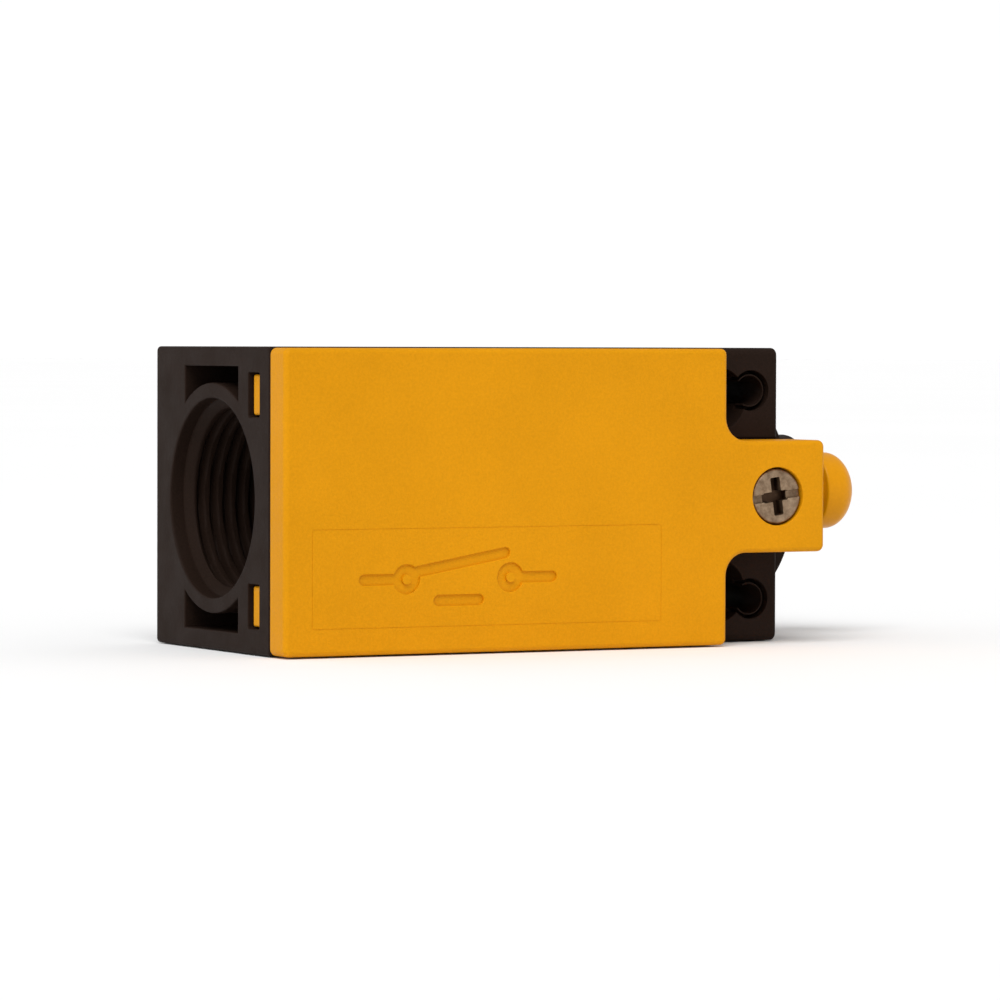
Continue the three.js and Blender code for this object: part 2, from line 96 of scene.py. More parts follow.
# ---- sizes of the visible details ----
COVER_JOINT = -0.08
WIDE_END = 50.9
TONGUE_HALF = 5.85
TONGUE_BOTTOM = 2.8
SCREW_HOLE = 1.9
RETAINER_TOP = 1.9
EAR_X, EAR_LEVEL = 50.5, 3
HOLE_X, HOLE_Z = 57.5, 11
HOLE_RADIUS, SLEEVE_OUTER, SLEEVE_BORE = 2.15, 1.72, 1.58
ENTRY_Y = 13.95
ENTRY_BOSS = 11.8
CAVITY_X0, CAVITY_X1, CAVITY_HALF, CAVITY_FLOOR = 10, 46.5, 13.2, 25.4
COLLAR_RADIUS, COLLAR_BORE, COLLAR_HOLE = 5.4, 3.3, 5.5
CLIP_GROOVE = (45.7, 46.45)
SEAL_GROOVE = (58, 59.8)
FLANGE_SEAT, FLANGE_FACE = 60.85, 62.7
FLANGE_RADIUS, LUG_RADIUS, SPIGOT_RADIUS = 10.3, 11.45, 6.1
INSERT_RADIUS, INSERT_BORE, INSERT_WAIST = 2.5, 1.7, 2.2
PAST = 2  # how far a cutting tool runs beyond the surface

scene = bpy.context.scene
scene.view_settings.view_transform = "Standard"


# ---- outlines ----
def rounded(corners, steps=5, closed=True):
    """Corners (u, v, radius) as a list of points, each corner turned on its radius."""
    outline = []
    count = len(corners)
    for i, (u, v, radius) in enumerate(corners):
        here = Vector((u, v))
        if radius <= 0 or (not closed and i in (0, count - 1)):
            outline.append(here)
            continue
        to_last = (Vector(corners[i - 1][:2]) - here).normalized()
        to_next = (Vector(corners[(i + 1) % count][:2]) - here).normalized()
        half_angle = to_last.angle(to_next) / 2
        centre = here + (to_last + to_next).normalized() * (radius / math.sin(half_angle))
        start = here + to_last * (radius / math.tan(half_angle)) - centre
        end = here + to_next * (radius / math.tan(half_angle)) - centre
        sweep = math.atan2(start.x * end.y - start.y * end.x, start.dot(end))
        for k in range(steps + 1):
            outline.append(centre + Matrix.Rotation(sweep * k / steps, 2) @ start)
    return outline


def rectangle(u0, u1, v0, v1, radius=0.0, steps=5):
    return rounded([(u0, v0, radius), (u1, v0, radius), (u1, v1, radius), (u0, v1, radius)], steps)


def circle(u, v, radius, count=48):
    turns = [2 * math.pi * k / count for k in range(count)]
    return [Vector((u + radius * math.cos(t), v + radius * math.sin(t))) for t in turns]


def stroke(start, end, width):
    """A straight stroke with round ends."""
    start, end = Vector(start), Vector(end)
    turn = math.atan2(end.y - start.y, end.x - start.x)
    outline = []
    for centre, first in ((end, turn - math.pi / 2), (start, turn + math.pi / 2)):
        for k in range(9):
            a = first + math.pi * k / 8
            outline.append(centre + Vector((math.cos(a), math.sin(a))) * (width / 2))
    return outline


def offset(outline, distance):
    """The outline moved outwards by a small distance."""
    area = sum(a.x * b.y - b.x * a.y for a, b in zip(outline, outline[1:] + outline[:1]))
    side = math.copysign(1, area)
    moved = []
    for i, here in enumerate(outline):
        d0 = (here - outline[i - 1]).normalized()
        d1 = (outline[(i + 1) % len(outline)] - here).normalized()
        n0, n1 = Vector((d0.y, -d0.x)) * side, Vector((d1.y, -d1.x)) * side
        moved.append(here + (n0 + n1) * (distance / max(1 + n0.dot(n1), 0.2)))
    return moved


# ---- solids ----
PLACES = {
    "X": lambda u, v, w: Vector((w, u, v)),
    "Y": lambda u, v, w: Vector((u, w, v)),
    "Z": lambda u, v, w: Vector((u, v, w)),
}


def solid(bm):
    """The mesh as an object, with its faces turned outwards."""
    bmesh.ops.recalc_face_normals(bm, faces=bm.faces)
    if bm.calc_volume(signed=True) < 0:
        bmesh.ops.reverse_faces(bm, faces=bm.faces)
    mesh = bpy.data.meshes.new("solid")
    bm.to_mesh(mesh)
    bm.free()
    made = bpy.data.objects.new("solid", mesh)
    scene.collection.objects.link(made)
    return made


def skin(rings, loop=False):
    """A closed mesh over rings of points. A ring of one point is a pole."""
    bm = bmesh.new()
    rows = [[bm.verts.new(p) for p in ring] for ring in rings]
    for a, b in zip(rows, rows[1:] + (rows[:1] if loop else [])):
        count = max(len(a), len(b))
        for i in range(count):
            j = (i + 1) % count
            quad = [a[i % len(a)], a[j % len(a)], b[j % len(b)], b[i % len(b)]]
            bm.faces.new([v for k, v in enumerate(quad) if v not in quad[:k]])
    if not loop:
        for row in (rows[0], rows[-1]):
            if len(row) > 2:
                bm.faces.new(row)
    return solid(bm)


def slab(outline, axis, low, high, round_low=0.0, round_high=0.0, steps=4):
    """An outline given thickness along an axis, with its two rims rounded. A negative radius flares."""
    place = PLACES[axis]
    levels = []
    for end, radius, sign in ((low, round_low, 1), (high, round_high, -1)):
        rim = []
        for k in range(steps + 1 if radius else 1):
            turn = math.pi / 2 * k / steps
            inset = abs(radius) * (1 - math.sin(turn)) if radius else 0
            rise = abs(radius) * (1 - math.cos(turn))
            rim.append((end + sign * rise, -math.copysign(inset, radius)))
        levels += rim if sign > 0 else rim[::-1]
    rings = []
    for level, grow in levels:
        shape = offset(outline, grow) if grow else outline
        rings.append([place(p.x, p.y, level) for p in shape])
    return skin(rings)


def cutter(outline, axis, bottom, surface, flare=0.15, steps=3):
    """A cutting tool for a hole whose rim is rounded where it meets the surface."""
    away = math.copysign(1, surface - bottom)
    place = PLACES[axis]
    levels = [(bottom, 0.0)]
    for k in range(steps + 1):
        turn = math.pi / 2 * k / steps
        levels.append((surface - away * flare * (1 - math.sin(turn)), flare * (1 - math.cos(turn))))
    levels.append((surface + away * PAST, flare))
    return skin([[place(p.x, p.y, w) for p in offset(outline, grow)] for w, grow in levels])


def turned(corners, axis, u, v, segments=64, loop=False):
    """A profile of (radius, level, corner radius) corners turned about an axis-directed line."""
    place = PLACES[axis]
    rings = []
    for p in rounded(corners, 4, closed=loop):
        if p.x < 1e-6:
            rings.append([place(u, v, p.y)])
        else:
            rings.append([place(q.x, q.y, p.y) for q in circle(u, v, p.x, segments)])
    return skin(rings, loop)


def box(x0, x1, y0, y1, z0, z1):
    return slab(rectangle(x0, x1, y0, y1), "Z", z0, z1)


def baked(target):
    """Applies an object's modifiers."""
    mesh = bpy.data.meshes.new_from_object(target.evaluated_get(bpy.context.evaluated_depsgraph_get()))
    target.modifiers.clear()
    target.data = mesh
    return target


def combined(target, others, operation):
    """The target joined with or cut by the others, which are used up."""
    for other in others:
        tool = target.modifiers.new("combine", "BOOLEAN")
        tool.operation = operation
        tool.solver = "MANIFOLD"
        tool.object = other
    baked(target)
    for other in others:
        bpy.data.objects.remove(other)
    return target


def cut(target, *tools):
    return combined(target, tools, "DIFFERENCE")


def joined(target, *others):
    return combined(target, others, "UNION")


def mirrored(source):
    """A copy on the other side of the centre line."""
    bm = bmesh.new()
    bm.from_mesh(source.data)
    for v in bm.verts:
        v.co.z = -v.co.z
    return solid(bm)


def softened(target, width):
    """The solid with every edge rounded that turns by more than 40 degrees."""
    bm = bmesh.new()
    bm.from_mesh(target.data)
    bmesh.ops.remove_doubles(bm, verts=bm.verts, dist=1e-4)
    bmesh.ops.dissolve_limit(bm, angle_limit=math.radians(0.5), verts=bm.verts, edges=bm.edges)
    sharp = [e for e in bm.edges if len(e.link_faces) == 2 and e.calc_face_angle(0) > math.radians(40)]
    bmesh.ops.bevel(bm, geom=sharp, offset=width, offset_type="OFFSET", segments=3,
                    profile=0.5, affect="EDGES", clamp_overlap=False)
    bm.to_mesh(target.data)
    bm.free()
    return target


def turned_about(target, axis, degrees, point):
    """Turns a solid about an axis-directed line through a point."""
    centre = Vector(point)
    spin = Matrix.Rotation(math.radians(degrees), 4, axis)
    target.data.transform(Matrix.Translation(centre) @ spin @ Matrix.Translation(-centre))
    return target


def piece(name, target, material, node):
    """Puts a finished solid into the row frame in place of a CAD node."""
    target.name = name
    target.data.transform(Matrix.Translation(ORIGIN) @ Matrix.Scale(MM, 4))
    target.data.shade_smooth()
    target.data.set_sharp_from_angle(angle=math.radians(46))
    target.modifiers.new("even_normals", "WEIGHTED_NORMAL").keep_sharp = True
    baked(target)
    target.data.name = name
    target.data.materials.clear()
    target.data.materials.append(material)
    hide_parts(node)
    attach(target, BODY_OF[node])
    return target


# ---- materials ----
def node_material(name):
    material = bpy.data.materials.new(name)
    material.use_nodes = True
    tree = material.node_tree
    return material, tree, tree.nodes["Principled BSDF"]


def noise(tree, scale, detail=3.0, roughness=0.55):
    """A noise texture over the object's own coordinates, in features per metre."""
    coordinates = tree.nodes.new("ShaderNodeTexCoord")
    texture = tree.nodes.new("ShaderNodeTexNoise")
    texture.inputs["Scale"].default_value = scale
    texture.inputs["Detail"].default_value = detail
    texture.inputs["Roughness"].default_value = roughness
    tree.links.new(coordinates.outputs["Object"], texture.inputs["Vector"])
    return texture.outputs["Fac"]


def blend_colours(tree, factor, dark, light, low=0.35, high=0.65):
    """Dark where the factor is under low, light where it is over high, and a blend between."""
    ramp = tree.nodes.new("ShaderNodeValToRGB")
    ramp.color_ramp.elements[0].position = low
    ramp.color_ramp.elements[1].position = high
    ramp.color_ramp.elements[0].color = (*dark, 1)
    ramp.color_ramp.elements[1].color = (*light, 1)
    tree.links.new(factor, ramp.inputs["Fac"])
    return ramp.outputs["Color"]


def spread(tree, factor, low, high):
    """A factor of 0 to 1 as a value from low to high."""
    scaled = tree.nodes.new("ShaderNodeMapRange")
    scaled.inputs["From Min"].default_value = 0.3
    scaled.inputs["From Max"].default_value = 0.7
    scaled.inputs["To Min"].default_value = low
    scaled.inputs["To Max"].default_value = high
    tree.links.new(factor, scaled.inputs["Value"])
    return scaled.outputs["Result"]


def bumped(tree, shader, height, distance, under=None):
    """Relief of the given height in metres on a shader, on top of any relief under it."""
    bump = tree.nodes.new("ShaderNodeBump")
    bump.inputs["Strength"].default_value = 1.0
    bump.inputs["Distance"].default_value = distance
    tree.links.new(height, bump.inputs["Height"])
    if under:
        tree.links.new(under, bump.inputs["Normal"])
    tree.links.new(bump.outputs["Normal"], shader.inputs["Normal"])
    return bump.outputs["Normal"]


def moulded_plastic(name, dark, light, rough, grain, grain_height, mottle=90, shine=0.5):
    """Moulded plastic: slight mottling of colour, and the fine grain of the mould."""
    material, tree, shader = node_material(name)
    speckle = tree.nodes.new("ShaderNodeMix")
    speckle.inputs["Factor"].default_value = 0.5
    tree.links.new(noise(tree, mottle, 3), speckle.inputs["A"])
    tree.links.new(noise(tree, grain * 0.6, 1), speckle.inputs["B"])
    colour = blend_colours(tree, speckle.outputs["Result"], dark, light)
    tree.links.new(colour, shader.inputs["Base Color"])
    tree.links.new(spread(tree, noise(tree, mottle * 3, 3), *rough), shader.inputs["Roughness"])
    shader.inputs["Specular IOR Level"].default_value = shine
    broad = bumped(tree, shader, noise(tree, grain / 6, 2), grain_height * 0.8)
    bumped(tree, shader, noise(tree, grain, 2), grain_height, under=broad)
    return material


def screw_metal(name, head_level, painted_shade_depth):
    """Plated steel with painted shade in its recesses: darker with depth under the head."""
    material, tree, shader = node_material(name)
    clouds = noise(tree, 900, 5, 0.7)
    plated = blend_colours(tree, clouds, (0.15, 0.092, 0.052), (0.40, 0.285, 0.185), 0.32, 0.68)
    coordinates = tree.nodes.new("ShaderNodeTexCoord")
    split = tree.nodes.new("ShaderNodeSeparateXYZ")
    tree.links.new(coordinates.outputs["Object"], split.inputs["Vector"])
    # painted shade: the colour darkens towards dark brown the deeper a point lies under the head's top
    depth = tree.nodes.new("ShaderNodeMapRange")
    depth.inputs["From Min"].default_value = head_level + 0.3 * painted_shade_depth
    depth.inputs["From Max"].default_value = head_level + painted_shade_depth
    tree.links.new(split.outputs["Y"], depth.inputs["Value"])
    painted_recess_shade = tree.nodes.new("ShaderNodeMix")
    painted_recess_shade.data_type = "RGBA"
    tree.links.new(depth.outputs["Result"], painted_recess_shade.inputs["Factor"])
    tree.links.new(plated, painted_recess_shade.inputs["A"])
    painted_recess_shade.inputs["B"].default_value = (0.06, 0.032, 0.017, 1)
    tree.links.new(painted_recess_shade.outputs["Result"], shader.inputs["Base Color"])
    shader.inputs["Metallic"].default_value = 0.85
    scratches = noise(tree, 2600, 4, 0.6)
    tree.links.new(spread(tree, scratches, 0.34, 0.55), shader.inputs["Roughness"])
    bumped(tree, shader, scratches, 0.00003)
    return material


def worn_metal(name, dark, light, rough):
    """Plated or drawn metal with a cloudy surface and fine scratches."""
    material, tree, shader = node_material(name)
    colour = blend_colours(tree, noise(tree, 700, 5, 0.65), dark, light, 0.3, 0.7)
    tree.links.new(colour, shader.inputs["Base Color"])
    shader.inputs["Metallic"].default_value = 1.0
    scratches = noise(tree, 2600, 4, 0.6)
    tree.links.new(spread(tree, scratches, *rough), shader.inputs["Roughness"])
    bumped(tree, shader, scratches, 0.00001)
    return material


BLACK = moulded_plastic("black_plastic", (0.0155, 0.0090, 0.0062), (0.021, 0.0120, 0.0088),
                        (0.42, 0.55), 9000, 0.000018, shine=0.03)
YELLOW = moulded_plastic("yellow_cover", (0.61, 0.252, 0.001), (0.69, 0.285, 0.002),
                         (0.45, 0.58), 6500, 0.00003, shine=0.08)
YELLOW_SMOOTH = moulded_plastic("yellow_plunger", (0.65, 0.262, 0.001), (0.70, 0.285, 0.002),
                                (0.28, 0.36), 5000, 0.000006, shine=0.12)
IVORY = moulded_plastic("ivory_plastic", (0.60, 0.55, 0.44), (0.68, 0.63, 0.52),
                        (0.4, 0.5), 8000, 0.00001)
GREY = moulded_plastic("grey_plastic", (0.035, 0.039, 0.043), (0.05, 0.055, 0.06),
                       (0.4, 0.55), 8000, 0.000015)
RED = moulded_plastic("red_plastic", (0.28, 0.018, 0.012), (0.36, 0.026, 0.018),
                      (0.35, 0.45), 8000, 0.00001)
RUBBER = moulded_plastic("seal_rubber", (0.010, 0.010, 0.011), (0.018, 0.018, 0.019),
                         (0.6, 0.75), 6000, 0.00002)
# zinc with painted shade in the screw head's cross and slot
ZINC_WITH_PAINTED_SHADE = screw_metal("zinc_steel", ORIGIN.y + SCREW_TOP * MM, 0.8 * MM)
ZINC = worn_metal("zinc_steel", (0.36, 0.34, 0.31), (0.66, 0.63, 0.58), (0.28, 0.5))
SPRING = worn_metal("spring_steel", (0.4, 0.4, 0.4), (0.56, 0.56, 0.56), (0.2, 0.35))
BRASS = worn_metal("brass", (0.62, 0.40, 0.14), (0.78, 0.55, 0.24), (0.22, 0.38))
COPPER = worn_metal("copper", (0.60, 0.27, 0.14), (0.78, 0.40, 0.24), (0.22, 0.38))


# ---- camera, lights and floor ----
BRIGHT, SKY = (1.02, 1.02, 1.02), (0.55, 0.55, 0.55)


def make_camera():
    """At the photograph's angle, with a long lens: turned to the cable end, just above the centre line."""
    camera = bpy.data.objects.new("camera", bpy.data.cameras.new("camera"))
    scene.collection.objects.link(camera)
    camera.data.sensor_width = 36
    camera.data.lens = 180.4
    camera.data.clip_start = 0.01
    camera.data.clip_end = 50
    camera.location = ORIGIN + Vector((-213.1, -452.7, 15.8)) * MM
    yaw, pitch, roll = (math.radians(a) for a in (-27.84, -1.78, 0.17))
    turn = Matrix.Rotation(yaw, 4, "Z") @ Matrix.Rotation(math.pi / 2 + pitch, 4, "X")
    camera.rotation_euler = (turn @ Matrix.Rotation(roll, 4, "Z")).to_euler()
    scene.camera = camera


def make_studio():
    """A pale floor in a bright even room, a soft key from the upper left, and a fill on the end face."""
    world = bpy.data.worlds.new("studio")
    scene.world = world
    world.use_nodes = True
    tree = world.node_tree
    coordinates = tree.nodes.new("ShaderNodeTexCoord")
    split = tree.nodes.new("ShaderNodeSeparateXYZ")
    tree.links.new(coordinates.outputs["Generated"], split.inputs["Vector"])
    sky = blend_colours(tree, split.outputs["Z"], BRIGHT, SKY, 0.06, 0.4)
    tree.links.new(sky, tree.nodes["Background"].inputs["Color"])
    floor = slab(rectangle(-9000, 9000, -9000, 9000), "Z", -2, 0)
    floor.data.transform(Matrix.Scale(MM, 4))
    floor.name = "floor"
    material, tree, shader = node_material("floor")
    colour = blend_colours(tree, noise(tree, 4, 2), (0.955, 0.955, 0.955), (0.965, 0.965, 0.965))
    tree.links.new(colour, shader.inputs["Base Color"])
    shader.inputs["Roughness"].default_value = 0.9
    floor.data.materials.append(material)
    floor.location.z = base_low.z - 0.0001
    sun = bpy.data.lights.new("key", "SUN")
    sun.energy = 1.9
    sun.angle = math.radians(40)
    key = bpy.data.objects.new("key", sun)
    scene.collection.objects.link(key)
    key.rotation_euler = Vector((0.35, 0.5, -0.8)).to_track_quat("-Z", "Y").to_euler()
    centre = (cad_low + cad_high) / 2
    away = Vector((-0.8, 0.1, 0.15))
    panel = bpy.data.lights.new("end_fill", "AREA")
    panel.size = 0.5
    panel.energy = 0.8
    fill = bpy.data.objects.new("end_fill", panel)
    scene.collection.objects.link(fill)
    fill.location = centre + away
    fill.rotation_euler = (-away).to_track_quat("-Z", "Y").to_euler()
    fill.visible_camera = False


# ---- base ----
def thread_tool():
    """The cutting tool for the cable entry: counterbore, lead-in and a true helical M20 x 1.5 thread."""
    minor, crest, pitch = 9.2, 9.98, 1.5
    start, end, runout = 2.2, CAVITY_X0 + 0.5, 0.8
    segments, per_turn = 96, 12

    def radius(x, turn):
        phase = ((x - start) / pitch - turn) % 1
        wave = min(max(1.35 - abs(phase - 0.5) * 4.2, 0), 1)
        fade = min(max((x - start) / runout, 0), 1) * min(max((9.9 - x) / runout, 0), 1)
        return minor + (crest - minor) * wave * fade

    rings = [[PLACES["X"](ENTRY_Y, 0, -1.5)]]
    mouth = [(10.5, -1.5), (10.5, -0.001), (10.28, 0.08), (10.2, 0.3),
             (10.2, 1.4), (9.95, 1.45), (9.35, 2.05)]
    for r, x in mouth:
        rings.append([PLACES["X"](p.x, p.y, x) for p in circle(ENTRY_Y, 0, r, segments)])
    steps = round((end - start) / pitch * per_turn)
    for k in range(steps + 1):
        x = start + (end - start) * k / steps
        ring = []
        for i in range(segments):
            turn = i / segments
            r = radius(x, turn)
            a = 2 * math.pi * turn
            ring.append(PLACES["X"](ENTRY_Y + r * math.cos(a), r * math.sin(a), x))
        rings.append(ring)
    rings.append([PLACES["X"](ENTRY_Y, 0, end)])
    return skin(rings)


def end_pocket():
    """The open pocket beside the entry's boss, as an outline in Y and Z."""
    low, high, side = 7.6, 20.6, 13.5
    start = math.asin((low - ENTRY_Y) / ENTRY_BOSS)
    finish = math.asin((high - ENTRY_Y) / ENTRY_BOSS)
    arc = []
    for k in range(13):
        a = finish + (start - finish) * k / 12
        arc.append(Vector((ENTRY_Y + ENTRY_BOSS * math.sin(a), ENTRY_BOSS * math.cos(a))))
    return rounded([(low, side, 0.3), (high, side, 0.3)], 3, closed=False) + arc


def ear_hole():
    """The tools for one fixing hole: a ring groove round a thin sleeve, and a relief that breaks into it."""
    profile = [
        (0, 2), (HOLE_RADIUS, 2), (HOLE_RADIUS, 5.2), (SLEEVE_OUTER, 5.2), (SLEEVE_OUTER, 3.35),
        (SLEEVE_BORE, 3.35), (SLEEVE_BORE, 7.5), (HOLE_RADIUS, 7.5), (HOLE_RADIUS, DEPTH - 0.2),
        (HOLE_RADIUS + 0.2, DEPTH), (HOLE_RADIUS + 0.2, DEPTH + PAST), (0, DEPTH + PAST),
    ]
    hole = turned([(radius, level, 0) for radius, level in profile], "Y", HOLE_X, HOLE_Z, 48)
    return [hole, cutter(circle(53.5, 10.1, 3.3), "Y", 14, EAR_LEVEL, 0.08)]


def base_housing():
    """The black base: entry, hook slots, ears with fixing holes, and the cavity behind the cover."""
    main = slab(rectangle(0, DEPTH, -HALF, HALF, 0.5), "X", 0, EAR_X, 0.35, 0.15)
    ears = slab(rectangle(EAR_LEVEL, DEPTH, -HALF, HALF, 0.8, 6), "X", 40, LENGTH, 0, 0.45, 6)
    base = joined(main, ears)
    base = cut(base, slab(circle(AXIS_Y, 0, COLLAR_HOLE, 64), "X", 44, 62))
    base = cut(base, box(CAVITY_X0, CAVITY_X1, -1, CAVITY_FLOOR, -CAVITY_HALF, CAVITY_HALF))
    base = cut(base, box(EAR_X, LENGTH + 1, -1, 3.2, -6.1, 6.1))
    boss = slab(circle(ENTRY_Y, 0, ENTRY_BOSS, 96), "X", -2, 13)
    base = cut(base, cut(box(1.6, CAVITY_X0 + 0.1, -1, 6.2, -CAVITY_HALF, CAVITY_HALF), boss))
    tools = [thread_tool()]
    for sign in (1, -1):
        block_screw_hole = slab(circle(18, 9.6, 1.6, 24), "Y", 25, 27.1)
        hook_slot = cutter(rectangle(2.5, 5.1, 8.4, 12.9, 0.25), "X", 1.9, 0, 0.12)
        shapes = [cutter(end_pocket(), "X", 7, 0, 0.15), hook_slot, block_screw_hole, *ear_hole()]
        tools += shapes if sign > 0 else [mirrored(s) for s in shapes]
        if sign < 0:
            for s in shapes:
                bpy.data.objects.remove(s)
    tools.append(slab(circle(SCREW_X, 0, INSERT_RADIUS + 0.1, 32), "Y", 2, 7.9))
    piece("housing_shell", cut(base, *tools), BLACK, "base_housing")


# ---- cover ----
def cover_outline():
    """The cover seen from the front: the wide plate and its tongue."""
    half, tongue, fillet = COVER_HALF, TONGUE_HALF, 2.4
    lower = [(0, -half, 0.7), (WIDE_END, -half, 0.62),
             (WIDE_END, -tongue, fillet), (TONGUE_END, -tongue, 0.7)]
    upper = [(x, -z, r) for x, z, r in reversed(lower)]
    return rounded(lower + upper, 8)


def contact_mark():
    """The tools for a sunken, generic contact symbol: two leads, two pivots and a raised lever."""
    level, width = -7.85, 1.1
    left, right = 13.6, 25.4
    strokes = [
        ((8.8, level), (left - 1.5, level)),
        ((right + 1.5, level), (30.2, level)),
        ((left + 1.3, level + 0.75), (right - 0.6, level + 2.5)),
        ((17.2, level - 2.2), (21.8, level - 2.2)),
    ]
    surface, floor = COVER_FRONT, COVER_FRONT + 0.3
    tools = [cutter(stroke(start, end, width), "Y", floor, surface, 0.1) for start, end in strokes]
    for x in (left, right):
        ring = cutter(circle(x, level, 1.5, 40), "Y", floor, surface, 0.1)
        tools.append(cut(ring, slab(circle(x, level, 0.5, 24), "Y", surface - 3, surface + 1)))
    return tools


def insert_line():
    """The tool for the fine line that the edge of a mould insert leaves on the front."""
    line = slab(rectangle(3, 43, -12.7, -2.7, 0.3), "Y", COVER_FRONT - 1, COVER_FRONT + 0.03)
    inside = slab(rectangle(3.07, 42.93, -12.63, -2.77, 0.25), "Y", COVER_FRONT - 2, COVER_FRONT + 1)
    return cut(line, inside)


def front_cover():
    """The yellow cover: a plate with a tongue over the ears, hollow behind, and two hooks at its far end."""
    cover = slab(cover_outline(), "Y", COVER_FRONT, COVER_JOINT, 0.55, 0.1, 6)
    tongue = slab(rectangle(WIDE_END + 0.1, TONGUE_END, -TONGUE_HALF, TONGUE_HALF, 0.7), "Y",
                  COVER_FRONT + 1, TONGUE_BOTTOM, 0, 0.15)
    cover = joined(cover, tongue)
    hollow = box(52.2, TONGUE_END - 1.2, -1.3, 4, -4.5, 4.5)
    hollow = cut(hollow, slab(circle(SCREW_X, 0, 3.5), "Y", -3, RETAINER_TOP))
    tools = [
        box(0.9, 49.3, COVER_FRONT + 1.8, 1, -COVER_HALF + 1.5, COVER_HALF - 1.5),
        hollow,
        cutter(circle(SCREW_X, 0, SCREW_HEAD + 0.17, 64), "Y", -0.9, COVER_FRONT, 0.1),
        slab(circle(SCREW_X, 0, SCREW_HOLE), "Y", -2, 5),
        *contact_mark(),
        insert_line(),
    ]
    cover = cut(cover, *tools)
    hooks = []
    for sign in (1, -1):
        outline = rounded([(2, -1.8, 0), (3.3, -1.8, 0), (3.3, 4.9, 0.3), (0.8, 4.9, 0.2), (0.35, 4.5, 0.2),
                           (0.35, 2.75, 0.15), (2, 2.75, 0)], 3)
        low, high = sorted((sign * 8.6, sign * 12.7))
        hooks.append(slab(outline, "Z", low, high, 0.25, 0.25, 4))
    cover = joined(cover, *hooks)
    piece("cover_shell", cover, YELLOW, "front_cover")


# ---- head ----
def head_collar():
    """The collar: a tube with a clip groove, the flange with its two lugs, and the plunger's bore."""
    inner, outer = COLLAR_LOW.x, COLLAR_HIGH.x
    groove = 4.9
    body = turned([
        (0, inner, 0), (COLLAR_RADIUS, inner, 0.4), (COLLAR_RADIUS, CLIP_GROOVE[0], 0),
        (groove, CLIP_GROOVE[0], 0), (groove, CLIP_GROOVE[1], 0), (COLLAR_RADIUS, CLIP_GROOVE[1], 0),
        (COLLAR_RADIUS, FLANGE_SEAT, 0), (FLANGE_RADIUS, FLANGE_SEAT, 0.15),
        (FLANGE_RADIUS, FLANGE_FACE, 0.15), (SPIGOT_RADIUS, FLANGE_FACE, 0.3),
        (SPIGOT_RADIUS, outer, 0.5), (0, outer, 0),
    ], "X", AXIS_Y, 0, 96)
    lugs = []
    for turn in (0, 180):
        sector = [Vector((AXIS_Y, 0))]
        for k in range(13):
            a = math.radians(180 + 22 + turn + 50 * k / 12)
            sector.append(Vector((AXIS_Y + LUG_RADIUS * math.cos(a), LUG_RADIUS * math.sin(a))))
        lugs.append(slab(sector, "X", FLANGE_SEAT, FLANGE_FACE, 0.15, 0.15, 3))
    body = joined(body, *lugs)
    seal, mouth, mouth_floor = 4.3, 4.4, 64.4
    bore = turned([
        (0, 44, 0), (COLLAR_BORE, 44, 0), (COLLAR_BORE, SEAL_GROOVE[0], 0), (seal, SEAL_GROOVE[0], 0),
        (seal, SEAL_GROOVE[1], 0), (COLLAR_BORE, SEAL_GROOVE[1], 0), (COLLAR_BORE, mouth_floor, 0),
        (mouth, mouth_floor, 0.2), (mouth, outer - 0.25, 0), (mouth + 0.35, outer + 0.1, 0),
        (mouth + 0.35, 70, 0), (0, 70, 0),
    ], "X", AXIS_Y, 0, 64)
    piece("collar_body", cut(body, bore), BLACK, "head_collar")


def plunger():
    """The plunger: a stem under a domed head."""
    head, stem, rim, shoulder = PLUNGER_HEAD, 3, 71.4, 73.2
    corners = [(0, STEM_FOOT, 0), (stem, STEM_FOOT, 0.3), (stem, rim, 0.25), (head, rim, 0.25),
               (head, shoulder, 0)]
    for k in range(1, 17):
        a = math.pi / 2 * k / 16
        corners.append((head * math.cos(a) if k < 16 else 0, shoulder + (TIP - shoulder) * math.sin(a), 0))
    piece("plunger_pin", turned(corners, "X", AXIS_Y, 0, 96), YELLOW_SMOOTH, "plunger")


def cover_screw():
    """A cheese-head screw whose head takes a flat or a cross blade."""
    head, top, under, shank, core = SCREW_HEAD, SCREW_TOP, -0.95, 1.6, 1.45
    body = turned([
        (0, top, 0), (head, top, 0.3), (head, under, 0.1), (shank, under, 0), (shank, 2.9, 0),
        (core, 3.0, 0), (core, SCREW_END - 0.5, 0), (1.0, SCREW_END, 0), (0, SCREW_END, 0),
    ], "Y", SCREW_X, 0, 64)
    slot = cutter(rectangle(SCREW_X - 4, SCREW_X + 4, -0.4, 0.4), "Y", top + 0.45, top, 0.06)
    deep = top + 1.3
    arm = cutter(rectangle(SCREW_X - 0.56, SCREW_X + 0.56, -1.98, 1.98, 0.15), "Y", deep, top, 0.06)
    across = cutter(rectangle(SCREW_X - 1.6, SCREW_X + 1.3, -0.52, 0.52, 0.15), "Y", deep, top, 0.06)
    body = cut(body, slot, arm, across)
    body = turned_about(body, "Y", -8, (SCREW_X, 0, 0))
    piece("cover_screw_body", body, ZINC_WITH_PAINTED_SHADE, "cover_screw")


# ---- inner pieces ----
def rounded_copy(node, material, width):
    """A CAD node's shape with its sharp edges rounded."""
    bm = bmesh.new()
    bm.from_mesh(frame["nodes"][node].data)
    to_drawing = Matrix.Scale(1 / MM, 4) @ Matrix.Translation(-ORIGIN)
    bmesh.ops.transform(bm, matrix=to_drawing, verts=bm.verts)
    bmesh.ops.remove_doubles(bm, verts=bm.verts, dist=1e-3)
    piece(f"{node}_piece", softened(solid(bm), width), material, node)


